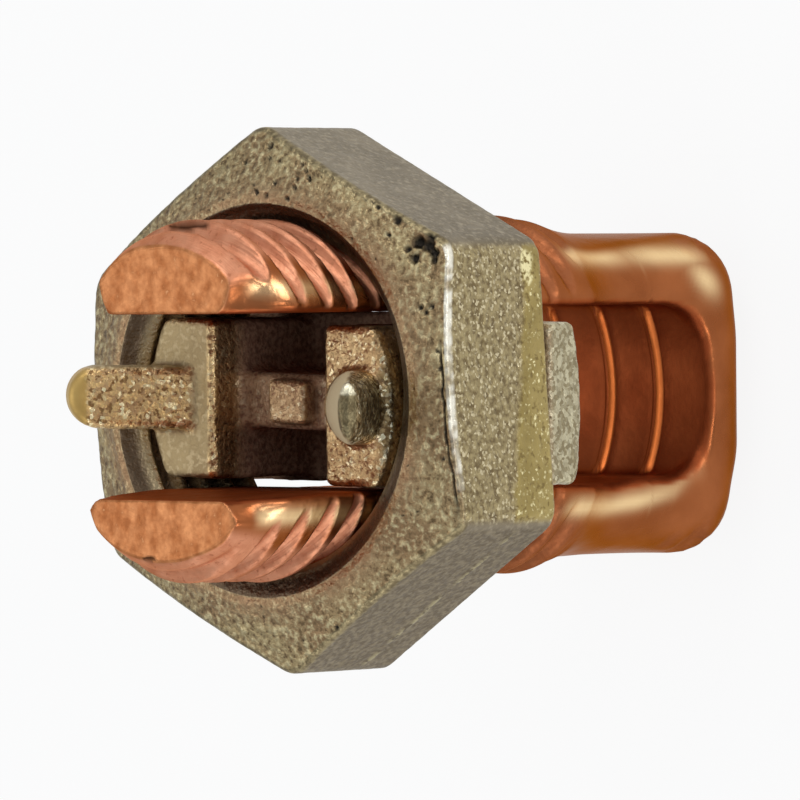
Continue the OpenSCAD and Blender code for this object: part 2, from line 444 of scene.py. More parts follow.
def build_bolt():
    """Points, faces and marks of the bolt: rings from tip to tip, and a cap on each end."""
    start, angle = ring_rays()
    stations = bolt_stations()
    columns = len(start)
    centre = np.repeat(np.array([s[0] for s in stations], float), columns, 0)
    outward = np.repeat(np.array([s[1] for s in stations], float), columns, 0)
    half = np.repeat(np.array([s[2] for s in stations], float), columns)
    tip_z = np.repeat(np.array([s[3] for s in stations], float), columns)
    spot = np.tile(start, len(stations))
    turn = np.tile(angle, len(stations))[:, None]
    along = np.array([0.0, 1.0, 0.0])
    origin = centre + (half * spot)[:, None] * along
    direction = np.cos(turn) * outward + np.sin(turn) * along
    points = find_surface(origin, direction, tip_z, RAY_LEN)
    faces = grid_faces(len(stations), columns, False)
    parts = [points]
    sunk = [np.zeros(len(points))]
    face_parts = [faces]
    count = len(points)
    for ring, tip in ((points[:columns], SHORT_TIP_Z), (points[-columns:], BOLT_LEN)):
        first = 0 if tip < BOLT_LEN else len(points) - columns
        middle = ring.mean(0)
        last = first
        for share in CAP_SHARES:
            inset = middle + (ring - middle) * share
            inset[:, 2] = tip
            parts.append(inset)
            sunk.append(np.full(columns, min(1.0, (CAP_SHARES[0] - share) / CAP_RIM)))
            face_parts.append(bridge(last, count, columns))
            last = count
            count += columns
        parts.append(np.array([[middle[0], middle[1], tip]]))
        sunk.append(np.ones(1))
        j = np.arange(columns)
        fan = np.stack([last + j, last + (j + 1) % columns, np.full(columns, count)], 1)
        face_parts.append(fan)
        count += 1
    points = np.concatenate(parts)
    faces = [f for part in face_parts for f in part.tolist()]
    tip = np.where(points[:, 0] > 0, SHORT_TIP_Z, BOLT_LEN)
    _, cut, inside, dent_shade, ridge_highlight = bolt_field(points, tip)
    radius = np.hypot(points[:, 0], points[:, 1])
    end = ramp(points[:, 2], tip - 0.13, tip - 0.05)
    worked = ramp(radius, 8.85, 9.1) * ramp(points[:, 2], THREAD_Z - 2.5, THREAD_Z)
    fresh = 0.1 + 0.9 * ramp(points[:, 2], 20.0, 26.0)
    reach = np.abs(points[:, 0]) - LEG_AXIS_X
    cone = ramp(reach / np.hypot(reach, points[:, 1]), 0.58, 0.7)
    cone = cone * ramp(points[:, 2], tip - 2.4, tip - 1.9)
    worked = np.maximum(np.maximum(worked, cone), ramp(cut, -0.05, 0.05))
    swell = 0.05 * noise(points, 2.2, 3) + 0.025 * noise(points, 0.8, 4)
    points[:, 2] += np.minimum(swell, 0.0) * 2.5 * np.concatenate(sunk)
    marks = {
        "machined": np.maximum(worked * fresh, end),
        "matte": np.maximum(worked, end),
        "inside": ramp(inside, -0.15, 0.1) * (1 - end),
        "end": end,
        # Painted highlight bands along the arms, the bend and the legs' sides
        "painted_highlight": painted_highlight_mark(points) * (1 - end),
        # Painted shade in the dents
        "dent_shade": ramp(dent_shade, -0.35, 0.0),
        # Painted highlight lines along the saddle ridges
        "ridge_highlight": 1 - ramp(ridge_highlight, 0.0, 0.12),
    }
    return points, faces, marks


def painted_highlight_mark(points):
    """Painted highlight in bands along the smooth parts of the bolt, the same on both sides in Y.
    """
    x, y, z = points.T
    share = np.interp(z, [3.5, 5, 7.5, 9.5, 11, 14, 15], [0, 1, 1, 0.5, 1, 1, 0])
    upper_arm = spread(x, 7.5, 0.52) * share
    bend = spread(z - 0.4 * (x - 6.0), 4.5, 0.85) * spread(x, 6.15, 0.9)
    middle = np.interp(z, [5.5, 7.2, 9.7, 12, 16], [-4.2, -5.27, -5.81, -6.09, -6.03])
    lower_arm = spread(x, middle, 0.5) * np.interp(z, [4.5, 7, 10, 15, 16.5], [0, 0.5, 1, 1, 0])
    arms = np.maximum(np.maximum(upper_arm, bend), lower_arm) * ramp(np.abs(y), 4.0, 5.0)
    legs = np.where(x > 0, 0.5, 1.0) * spread(np.abs(x), 5.9, 0.42)
    legs = legs * ramp(z, 27, 28) * (1 - ramp(z, 39.2, 40.0))
    return np.maximum(arms, legs) * (0.9 + 0.1 * ramp(noise(points, 2.4, 41), -0.5, 0.4))


# Hex nut


def nut_profile():
    """Stages of the nut's section, each a kind and positions along it."""
    return [
        ("bore", np.linspace(0, 1, 46)),
        ("front_mouth", np.linspace(0, 1, 5)[1:]),
        ("face", np.linspace(0, 1, 30)[1:]),
        ("front_edge", np.linspace(0, 1, 8)[1:]),
        ("flat", np.linspace(0, 1, 46)[1:]),
        ("back_edge", np.linspace(0, 1, 7)[1:]),
        ("back", np.linspace(0, 1, 10)[1:]),
        ("back_mouth", np.linspace(0, 1, 5)[1:-1]),
    ]


def crown(radius):
    """Height of the front face, which falls towards the corners."""
    return NUT_FRONT_Z - CROWN_SLOPE * np.maximum(radius - CROWN_R, 0)


def curve(a, b, c, t):
    """Quadratic curve from a to c that leaves and arrives towards b."""
    return (1 - t) ** 2 * a + 2 * t * (1 - t) * b + t * t * c


# Blowholes in the front face: place, radius and depth
BLOWHOLES = [
    (8.25, -10.35, 0.4, 0.42),
    (8.05, -10.95, 0.42, 0.42),
    (7.65, -11.25, 0.36, 0.4),
    (7.45, -10.3, 0.34, 0.36),
    (7.3, -11.35, 0.3, 0.35),
    (8.55, -11.0, 0.3, 0.35),
    (7.85, -9.85, 0.22, 0.22),
    (9.4, -9.0, 0.24, 0.25),
    (8.65, -8.65, 0.16, 0.16),
    (10.1, -7.75, 0.2, 0.18),
    (4.85, -10.9, 0.24, 0.25),
    (4.9, -11.5, 0.2, 0.2),
    (4.6, -11.2, 0.2, 0.2),
    (2.6, -11.9, 0.14, 0.14),
    (1.7, -12.1, 0.16, 0.14),
    (13.4, 0.0, 0.26, 0.22),
    (12.75, -0.15, 0.16, 0.16),
    (12.65, -0.95, 0.14, 0.14),
    (12.55, 1.55, 0.14, 0.12),
    (11.4, 0.6, 0.18, 0.2),
    (11.1, 0.45, 0.18, 0.2),
    (10.95, 0.25, 0.16, 0.18),
    (10.8, -0.5, 0.2, 0.18),
    (11.45, -0.9, 0.17, 0.16),
    (11.65, -2.35, 0.2, 0.22),
    (11.2, -2.3, 0.2, 0.2),
    (10.6, -1.95, 0.2, 0.2),
    (12.05, -2.85, 0.2, 0.2),
    (11.75, -3.1, 0.18, 0.2),
    (11.55, -3.25, 0.14, 0.14),
    (12.4, -2.5, 0.14, 0.14),
    (-12.6, -2.2, 0.12, 0.12),
    (-11.9, -4.6, 0.14, 0.12),
    (-3.0, -12.2, 0.12, 0.12),
]
SMALL_HOLES = 46


def nut_pits():
    """Listed blowholes and seeded smaller ones, with their centres on the front face."""
    rng = np.random.default_rng(11)
    pits = [((x, y, crown(math.hypot(x, y))), size, depth) for x, y, size, depth in BLOWHOLES]
    for _ in range(SMALL_HOLES):
        turn = rng.uniform(0, TURN)
        r = rng.uniform(10.6, 13.4)
        place = (r * math.cos(turn), r * math.sin(turn), crown(r))
        pits.append((place, rng.uniform(0.05, 0.1), rng.uniform(0.03, 0.07)))
    return pits


def grid_normals(points, rows, columns):
    """Unit normals of a grid that closes on itself both ways."""
    grid = points.reshape(rows, columns, 3)
    across = np.roll(grid, -1, 1) - np.roll(grid, 1, 1)
    down = np.roll(grid, -1, 0) - np.roll(grid, 1, 0)
    normal = np.cross(across, down).reshape(-1, 3)
    return normal / np.maximum(np.linalg.norm(normal, axis=1), 1e-9)[:, None]


def bore_radius(z, theta):
    """Radius of the threaded bore."""
    phase = (z - CREST_Z) / PITCH - theta / TURN
    return NUT_MINOR_R + (NUT_MAJOR_R - NUT_MINOR_R) * thread_wave(phase, CREST_FLAT, CREST_FLAT)


def build_nut():
    """Points, faces and marks of the nut: its section turned round, then worn and pitted."""
    columns = NUT_COLUMNS
    theta = np.arange(columns) / columns * TURN
    sector = (theta - NUT_TURN) % (TURN / 6) - TURN / 12
    hexagon = NUT_AF / 2 / np.cos(sector)
    hexagon = smooth_min(hexagon, np.full(columns, CORNER_R - CORNER_BLUNT), CORNER_ROUND)
    edge = NUT_EDGE
    top = crown(hexagon)
    rows, kinds = [], []
    for kind, steps in nut_profile():
        for t in steps:
            if kind == "bore":
                depth = NUT_FRONT_Z - NUT_Z - 2 * MOUTH_DEPTH
                z = np.full(columns, NUT_Z + MOUTH_DEPTH + t * depth)
                r = bore_radius(z, theta)
            elif kind in ("front_mouth", "back_mouth"):
                t = t if kind == "front_mouth" else 1 - t
                face_z = NUT_FRONT_Z if kind == "front_mouth" else NUT_Z
                wall_z = face_z - MOUTH_DEPTH if kind == "front_mouth" else face_z + MOUTH_DEPTH
                wall_r = bore_radius(wall_z, theta)
                r = wall_r + t * (MOUTH_R - wall_r)
                z = np.full(columns, wall_z + (face_z - wall_z) * t**1.6)
            elif kind == "face":
                r = MOUTH_R + t * (hexagon - edge - MOUTH_R)
                z = crown(r)
            elif kind == "front_edge":
                r = curve(hexagon - edge, hexagon, hexagon, t)
                z = curve(crown(hexagon - edge), top, top - edge, t)
            elif kind == "flat":
                r = hexagon
                z = top - edge + t * (NUT_Z + edge - top + edge)
            elif kind == "back_edge":
                r = curve(hexagon, hexagon, hexagon - edge, t)
                z = curve(NUT_Z + edge, NUT_Z, NUT_Z, t) * np.ones(columns)
            else:
                r = hexagon - edge + t * (MOUTH_R - hexagon + edge)
                z = np.full(columns, NUT_Z)
            rows.append(np.stack([r * np.cos(theta), r * np.sin(theta), z], 1))
            kinds += [kind] * columns
    points = np.concatenate(rows)
    kinds = np.array(kinds)
    faces = grid_faces(len(rows), columns, True)
    normal = grid_normals(points, len(rows), columns)
    outward = np.sum(normal * points * [1, 1, 0], axis=1)
    if outward[kinds == "flat"].mean() < 0:
        normal = -normal
    skin = ~np.isin(kinds, ("bore", "front_mouth", "back_mouth"))
    flat = ramp(normal[:, 2], 0.8, 0.2) * skin
    face_turn = np.degrees(np.arctan2(points[:, 1], points[:, 0]))
    border = NUT_Z + 2.35 - 0.13 * points[:, 0]
    border = border + 0.3 * noise(points, 1.3, 21) + 0.12 * noise(points, 0.4, 22)
    right = ramp(face_turn, -117, -115) * (1 - ramp(face_turn, -57, -55))
    strip = flat * right * (1 - ramp(points[:, 2], border - 0.1, border + 0.1))
    # Small facet on the right flat, pressed in a little and given a painted glint
    facet_glint = np.hypot((points[:, 0] - 6.95) / 1.0, (points[:, 2] - 26.0) / 0.42)
    facet_glint = right * flat * (1 - ramp(facet_glint + 0.3 * noise(points, 0.4, 23), 0.85, 1.0))
    seam = np.abs(points[:, 2] - NUT_Z - 2.6 - 0.15 * noise(points, 1.5, 24))
    seam = flat * (1 - ramp(seam, 0.05, 0.22)) * (1 - ramp(face_turn, -121, -118))
    seam = seam * ramp(face_turn, -178, -174) * ramp(noise(points, 1.1, 27), -0.4, 0.3)
    hexes = np.concatenate([hexagon] * len(rows))
    rim = hexes - np.hypot(points[:, 0], points[:, 1])
    wander = 0.1 * noise(points, 0.6, 25)
    fissure = right * skin * (1 - flat) * (1 - ramp(np.abs(rim - 0.46 + wander), 0.03, 0.1))
    fissure = fissure * (1 - ramp(points[:, 0], 2.0, 3.5)) * ramp(points[:, 0], -6.5, -5.5)
    grain = 0.55 * noise(points, 0.45, 5) + 0.45 * noise(points, 0.24, 6)
    grain = grain + 0.5 * noise(points, 1.6, 7)
    rough = 0.05 * (1 - flat * (0.7 - 0.5 * right)) * (1 - 0.6 * strip)
    push = rough * np.minimum(grain - 0.35, 0) * skin - 0.07 * flat * right * (1 - strip)
    push = push - 0.16 * fissure + 0.05 * seam - 0.05 * facet_glint
    pit_shade_mark = np.zeros(len(points))
    for centre, size, depth in nut_pits():
        gap = np.linalg.norm(points - centre, axis=1)
        close = gap < 2 * size
        gap = gap[close] * (1 + 0.45 * noise(points[close], 0.3, 9))
        push[close] = np.minimum(push[close], -depth * (1 - ramp(gap, 0.35 * size, size)))
        pit_shade_mark[close] = np.maximum(pit_shade_mark[close], 1 - ramp(gap, 0.5 * size, 1.05 * size))
    points = points + normal * push[:, None]
    centre_gap = np.hypot(points[:, 0], points[:, 1])
    ragged = 1.5 * noise(points, 0.7, 28)
    broken = ramp(ragged, -1.3, 0.2) * (0.35 + 0.65 * ramp(noise(points, 0.3, 29), -0.35, 0.2))
    front_edge = kinds == "front_edge"
    marks = {
        # Painted shade: near-black in the blowholes and along the fissure
        "pit_shade": np.maximum(pit_shade_mark * skin, fissure),
        "flat": flat,
        "right": flat * right,
        "strip": strip,
        "facet_glint": np.maximum(facet_glint, 0.3 * seam),
        # Lower flats, darker: partly their own duller finish, partly painted shade
        "low": flat * (1 - ramp(face_turn, -119, -117)),
        "rub": (1 - ramp(centre_gap, 10.2, 12.4)) * skin,
        # Painted highlight: a broken near-white line along the front edge of the right flat
        "edge": front_edge * right * ramp(points[:, 0] + ragged, -4.2, -2.8) * broken,
        "rim": front_edge * (1 - right),
        "bore": 1.0 - skin,
        # Painted shade in the roots of the bore's thread
        "groove": (1.0 - skin) * ramp(centre_gap, 9.25, 9.7),
    }
    return points, faces.tolist(), marks


# Pressure bar


def lug_frame(y, z):
    """Distances along a lug from its root and through its thickness, outwards."""
    v = np.abs(y) - (PRONG_R - LUG_T / 2 / math.cos(LUG_SPLAY))
    w = z - PRONG_TOP_Z
    c, s = math.cos(LUG_SPLAY), math.sin(LUG_SPLAY)
    return v * s + w * c, v * c - w * s


def bar_field(p):
    """Field of the cast pressure bar, negative inside."""
    p = p - [BAR_SHIFT, 0, 0]
    p[:, 0] -= BAR_SKEW * p[:, 1]
    x, y, z = p.T
    lean = BAR_SHIFT + BAR_SKEW * y
    between = 1 - ramp(np.abs(y), 9.0, 10.0)
    swell = between * np.where(x > 0, FOOT_EDGE[1] - lean, FOOT_EDGE[-1] + lean)
    swell = swell - between * (BAR_W / 2 + np.where(x < 0, 0.1, 0) * ramp(y, 2.6, 3.4))
    swell = swell + (1 - between) * (y < 0) * np.where(x > 0, 0.15, -0.35)
    foot = box_field(
        np.stack([np.abs(x) - swell, y, z - BAR_TOP_Z + BAR_T / 2], 1),
        (BAR_W / 2, BAR_LEN / 2, BAR_T / 2),
        BAR_ROUND,
    )
    belly = np.hypot(x, z - (BAR_TOP_Z - BAR_T + BELLY_R)) - BELLY_R
    foot = smooth_max(foot, belly, BELLY_EDGE)
    low = BAR_TOP_Z - 1
    height = PRONG_TOP_Z - low
    prong = box_field(
        np.stack([x, np.abs(y) - PRONG_GAP / 2 - PRONG_R / 2, z - low - height / 2], 1),
        (PRONG_W / 2, PRONG_R / 2, height / 2),
        BAR_ROUND,
    )
    prong = smooth_max(prong, np.hypot(x, y) - PRONG_R, BORE_EDGE)
    web_h = WEB_TOP_Z - low
    web = box_field(
        np.stack([x, y, z - low - web_h / 2], 1),
        (WEB_T / 2, PRONG_GAP / 2 + 1, web_h / 2),
        BAR_ROUND,
    )
    pad = box_field(
        np.stack([x, y, z - WEB_TOP_Z], 1), (PAD[0] / 2, PAD[1] / 2, PAD[2]), PAD_ROUND
    )
    along, through = lug_frame(y, z)
    stem = np.maximum(along - (LUG_LEN - LUG_W / 2), 0)
    outline = np.hypot(x, stem) - LUG_W / 2
    outline = np.where(along > LUG_LEN - LUG_W / 2, outline, np.abs(x) - LUG_W / 2)
    far_lug = smooth_max(outline, np.abs(through) - LUG_T / 2, LUG_EDGE)
    reach = np.clip(along / STUB_LEN, 0, 1)
    half_w = STUB_HALF_W - STUB_W_LOSS * reach**2
    half_t = STUB_HALF_T - STUB_T_LOSS * reach
    sunk = through + STUB_SINK + STUB_BEND * reach
    stub = (np.hypot(x / half_w, sunk / half_t) - 1) * half_t
    stub = smooth_max(stub, along - STUB_LEN, STUB_EDGE)
    lug = np.where(y > 0, far_lug, stub)
    lug = smooth_max(lug, -along - LUG_T / 2, STUB_EDGE)
    body = smooth_min(foot, prong, PRONG_FILLET)
    body = smooth_min(body, web, WEB_FILLET)
    body = smooth_min(body, pad, PAD_FILLET)
    body = smooth_min(body, lug, LUG_FILLET)
    close = np.abs(body) < 0.5
    q = p[close]
    grain = 0.5 * noise(q, 0.5, 31) + 0.4 * noise(q, 0.27, 32) + 0.6 * noise(q, 1.5, 33)
    plate = 0.75 * ramp(z, PRONG_TOP_Z - 0.3, PRONG_TOP_Z - 0.1) * (1 - ramp(along, 0.3, 0.9))
    plate = plate * ramp(y, 4.15, 4.35) * ramp(np.abs(x), 1.6, 1.9)
    far = np.maximum(ramp(along, 4.3, 4.9), plate)
    near = ramp(-through, 0.5, 0.9) * ramp(along, 0.2, 0.6)
    calm = np.where(y > 0, far, near)[close]
    coarse = 0.05 + 0.06 * ((y < 0) * ramp(along, 0.4, 0.9))[close]
    body[close] += coarse * (grain + 0.6) * (1 - calm)
    return body


def bar_marks(points):
    """Edges, painted shade in recesses and creases, the worn end of the far lug, the faces of the
    near one and a painted glint on its end.
    """
    field = bar_field(points.copy())
    bend = np.zeros(len(points))
    for axis in range(3):
        for step in (-0.45, 0.45):
            shifted = points.copy()
            shifted[:, axis] += step
            bend += bar_field(shifted) - field
    x, y, z = points.T
    above = ramp(z, 24.0, 25.0)
    hollow = (1 - ramp(np.abs(y), PRONG_GAP / 2 - 0.2, PRONG_GAP / 2 + 0.15)) * above
    pad_top = ramp(z, WEB_TOP_Z + 0.3, WEB_TOP_Z + 0.7)
    deep = 1 - ramp(z, PRONG_TOP_Z - 3.0, PRONG_TOP_Z - 0.6)
    along, through = lug_frame(y, z)
    on_stub = (y < 0) * ramp(along, 0.5, 0.9)
    butt = on_stub * ramp(along, STUB_LEN - 0.5, STUB_LEN - 0.25)
    flank = on_stub * ramp(-through - 0.3 - 0.08 * along, 0.1, 0.35) * (1 - butt)
    top = (y > 0) * ramp(z, PRONG_TOP_Z - 0.6, PRONG_TOP_Z - 0.3)
    on_lug = (1 - ramp(np.abs(x), 1.6, 1.9)) * ramp(y, 5.0, 5.5)
    plate = top * ramp(y, 4.15, 4.35) * (1 - on_lug) * (1 - ramp(np.abs(x), 4.0, 4.2))
    strip = top * (1 - ramp(y, 4.15, 4.35))
    under = ramp(z, 22.8, 23.2) * (1 - ramp(np.abs(y), 9.2, 9.6))
    web_top = ramp(z, WEB_TOP_Z - 0.5, WEB_TOP_Z - 0.2) * (1 - ramp(np.abs(x), 1.3, 1.6))
    lit = np.maximum(0.68 * pad_top, 0.3 * web_top)
    return {
        "edge": np.maximum(ramp(bend, 0.55, 1.3), strip),
        # Painted shade between the prongs, deep in the slot and under the foot, less on the pad
        # and web tops where light falls
        "recess_shade": np.maximum(
            hollow * (1 - lit),
            deep * np.maximum(above, under) * (1 - pad_top) * (1 - hollow * web_top),
        ),
        # Painted shade in the concave creases
        "crease_shade": ramp(-bend, 0.25, 0.8),
        "tip": (y > 0) * ramp(along, 4.5, 4.75),
        "flank": flank,
        "butt": butt,
        "plate": plate,
        "lug": top * on_lug,
        "crust": on_stub * (1 - flank) * (1 - butt),
        # Painted glint: a pale spot on the end of the near lug
        "spot": butt * (1 - ramp(np.abs(x - 0.75), 0.15, 0.45)),
        "foot": 1 - ramp(z, BAR_TOP_Z - 0.3, BAR_TOP_Z + 0.3),
    }


def surface_net(field, low, high, step):
    """Quad mesh of a field's zero surface on a regular grid."""
    axes = [np.arange(a, b + step, step) for a, b in zip(low, high)]
    shape = tuple(len(a) for a in axes)
    gx, gy, gz = np.meshgrid(*axes, indexing="ij")
    value = field(np.stack([gx.ravel(), gy.ravel(), gz.ravel()], 1)).reshape(shape)
    inside = value < 0
    total = np.zeros(tuple(n - 1 for n in shape) + (3,))
    hits = np.zeros(tuple(n - 1 for n in shape))
    corners = list(np.ndindex(2, 2, 2))

    def cut(corner):
        return tuple(slice(c, c + n - 1) for c, n in zip(corner, shape))

    for a in corners:
        for axis in range(3):
            if a[axis]:
                continue
            b = tuple(1 if k == axis else a[k] for k in range(3))
            va, vb = value[cut(a)], value[cut(b)]
            crossing = inside[cut(a)] != inside[cut(b)]
            t = np.where(crossing, va / np.where(crossing, va - vb, 1), 0)
            for k in range(3):
                total[..., k] += crossing * (a[k] + (t if k == axis else 0))
            hits += crossing
    used = hits > 0
    index = np.full(used.shape, -1)
    index[used] = np.arange(used.sum())
    cells = np.argwhere(used)
    points = np.array(low) + step * (cells + total[used] / hits[used][:, None])
    faces = []
    for axis in range(3):
        u, v = [k for k in range(3) if k != axis]
        first = [slice(1, n - 1) for n in shape]
        first[axis] = slice(0, shape[axis] - 1)
        second = list(first)
        second[axis] = slice(1, shape[axis])
        crossing = np.argwhere(inside[tuple(first)] != inside[tuple(second)])
        crossing = crossing + [s.start for s in first]
        ring = []
        for du, dv in ((0, 0), (1, 0), (1, 1), (0, 1)):
            cell = crossing.copy()
            cell[:, u] -= du
            cell[:, v] -= dv
            ring.append(index[tuple(cell.T)])
        quads = np.stack(ring, 1)
        leaving = inside[tuple(crossing.T)]
        flip = leaving if axis == 1 else ~leaving
        quads[flip] = quads[flip][:, ::-1]
        faces.append(quads)
    return points, np.concatenate(faces).tolist()


# Materials


class Paint:
    """Shader nodes of one metal, in the piece's own coordinates."""

    def __init__(self, name):
        self.material = bpy.data.materials.new(name)
        self.material.use_nodes = True
        self.nodes = self.material.node_tree.nodes
        self.links = self.material.node_tree.links
        self.shader = self.nodes["Principled BSDF"]
        self.shader.inputs["Metallic"].default_value = 1.0
        self.coords = self.nodes.new("ShaderNodeTexCoord").outputs["Object"]

    def put(self, socket, value):
        if isinstance(value, bpy.types.NodeSocket):
            self.links.new(value, socket)
        elif isinstance(value, tuple):
            socket.default_value = (*value, 1)
        else:
            socket.default_value = value

    def mark(self, name):
        node = self.nodes.new("ShaderNodeAttribute")
        node.attribute_name = name
        return node.outputs["Fac"]

    def noise(self, size, detail=2.0, coords=None, stretch=None):
        """Noise with features of the given size in millimetres."""
        coords = coords or self.coords
        if stretch:
            mapping = self.nodes.new("ShaderNodeMapping")
            mapping.inputs["Scale"].default_value = stretch
            self.links.new(coords, mapping.inputs["Vector"])
            coords = mapping.outputs["Vector"]
        node = self.nodes.new("ShaderNodeTexNoise")
        node.inputs["Scale"].default_value = 1 / (size * MM)
        node.inputs["Detail"].default_value = detail
        self.links.new(coords, node.inputs["Vector"])
        return node.outputs["Fac"]

    def cells(self, size):
        """Grains of the given size in millimetres, with a random value each."""
        node = self.nodes.new("ShaderNodeTexVoronoi")
        node.inputs["Scale"].default_value = 1 / (size * MM)
        self.links.new(self.coords, node.inputs["Vector"])
        split = self.nodes.new("ShaderNodeSeparateColor")
        self.links.new(node.outputs["Color"], split.inputs["Color"])
        return split.outputs[0]

    def rings(self):
        """Coordinates that only change with radius and height about the bolt's axis."""
        split = self.nodes.new("ShaderNodeSeparateXYZ")
        self.links.new(self.coords, split.inputs[0])
        flat = self.nodes.new("ShaderNodeCombineXYZ")
        self.links.new(split.outputs["X"], flat.inputs["X"])
        self.links.new(split.outputs["Y"], flat.inputs["Y"])
        length = self.nodes.new("ShaderNodeVectorMath")
        length.operation = "LENGTH"
        self.links.new(flat.outputs[0], length.inputs[0])
        both = self.nodes.new("ShaderNodeCombineXYZ")
        self.links.new(length.outputs["Value"], both.inputs["X"])
        self.links.new(split.outputs["Z"], both.inputs["Z"])
        return both.outputs[0]

    def fit(self, value, low, high, out_low=0.0, out_high=1.0):
        node = self.nodes.new("ShaderNodeMapRange")
        for name, number in (
            ("From Min", low), ("From Max", high), ("To Min", out_low), ("To Max", out_high)
        ):
            node.inputs[name].default_value = number
        self.links.new(value, node.inputs["Value"])
        return node.outputs["Result"]

    def mix(self, factor, a, b):
        node = self.nodes.new("ShaderNodeMix")
        node.data_type = "RGBA"
        self.put(node.inputs[0], factor)
        self.put(node.inputs[6], a)
        self.put(node.inputs[7], b)
        return node.outputs[2]

    def grade(self, value, low, high, a, b):
        """Colour from a to b as the value goes from low to high."""
        return self.mix(self.fit(value, low, high), a, b)

    def masked(self, mark, value, low, high):
        """Value fitted from low to high, inside a mark alone."""
        return self.math("MULTIPLY", mark, self.fit(value, low, high))

    def math(self, operation, a, b):
        node = self.nodes.new("ShaderNodeMath")
        node.operation = operation
        self.put(node.inputs[0], a)
        self.put(node.inputs[1], b)
        return node.outputs[0]

    def blend(self, factor, a, b):
        node = self.nodes.new("ShaderNodeMix")
        self.put(node.inputs[0], factor)
        self.put(node.inputs[2], a)
        self.put(node.inputs[3], b)
        return node.outputs[0]

    def bump(self, height, distance, strength, normal=None):
        node = self.nodes.new("ShaderNodeBump")
        node.inputs["Distance"].default_value = distance * MM
        self.put(node.inputs["Strength"], strength)
        self.links.new(height, node.inputs["Height"])
        if normal:
            self.links.new(normal, node.inputs["Normal"])
        return node.outputs["Normal"]

    def finish(self, colour, roughness, normal):
        self.links.new(colour, self.shader.inputs["Base Color"])
        self.links.new(roughness, self.shader.inputs["Roughness"])
        self.links.new(normal, self.shader.inputs["Normal"])
        return self.material


def copper_metal():
    """Forged copper with painted highlight bands, turned crests and sheared leg tips."""
    p = Paint("copper")
    machined, matte, inside, end, dent_shade, ridge_highlight, painted_highlight = (
        p.mark(m) for m in ("machined", "matte", "inside", "end", "dent_shade", "ridge_highlight", "painted_highlight")
    )
    cloud, blotch, speck = p.noise(3.5, 3.0), p.noise(0.9, 3.0), p.noise(0.3, 3.0)
    lines = p.noise(0.11, 2.0, p.rings())
    smear = p.noise(0.75, 4.0, stretch=(0.8, 1.0, 1.0))
    forged = p.grade(cloud, 0.3, 0.7, (0.29, 0.084, 0.027), (0.42, 0.136, 0.048))
    # Painted highlight: pale copper along the highlight bands
    forged = p.mix(painted_highlight, forged, (1.0, 0.72, 0.38))
    cut = p.grade(blotch, 0.3, 0.7, (0.62, 0.245, 0.13), (0.76, 0.35, 0.205))
    cut = p.grade(speck, 0.6, 0.8, cut, (0.42, 0.15, 0.075))
    sheared = p.grade(smear, 0.35, 0.65, (0.44, 0.155, 0.055), (0.68, 0.29, 0.12))
    sheared = p.grade(speck, 0.66, 0.8, sheared, (0.80, 0.42, 0.2))
    hollow = p.grade(cloud, 0.3, 0.7, (0.28, 0.058, 0.018), (0.41, 0.10, 0.032))
    # Painted highlight: bright orange lines along one side of the saddle ridges
    hollow = p.mix(ridge_highlight, hollow, (1.0, 0.28, 0.07))
    colour = p.mix(machined, forged, cut)
    colour = p.mix(end, colour, sheared)
    colour = p.mix(inside, colour, hollow)
    # Painted shade: near-black inside the dents of the leg tips
    colour = p.mix(dent_shade, colour, (0.09, 0.035, 0.02))
    rough = p.blend(matte, p.fit(cloud, 0.3, 0.7, 0.24, 0.34), p.fit(speck, 0.3, 0.7, 0.42, 0.58))
    rough = p.blend(inside, rough, p.fit(blotch, 0.3, 0.7, 0.45, 0.55))
    p.shader.inputs["Specular Tint"].default_value = (0.76, 0.52, 0.38, 1)
    wave = p.bump(p.noise(1.8, 2.0), 0.12, 0.5)
    grain = p.bump(speck, 0.03, 0.5, wave)
    turned = p.bump(lines, 0.02, machined, grain)
    normal = p.bump(smear, 0.08, end, turned)
    return p.finish(colour, rough, normal)


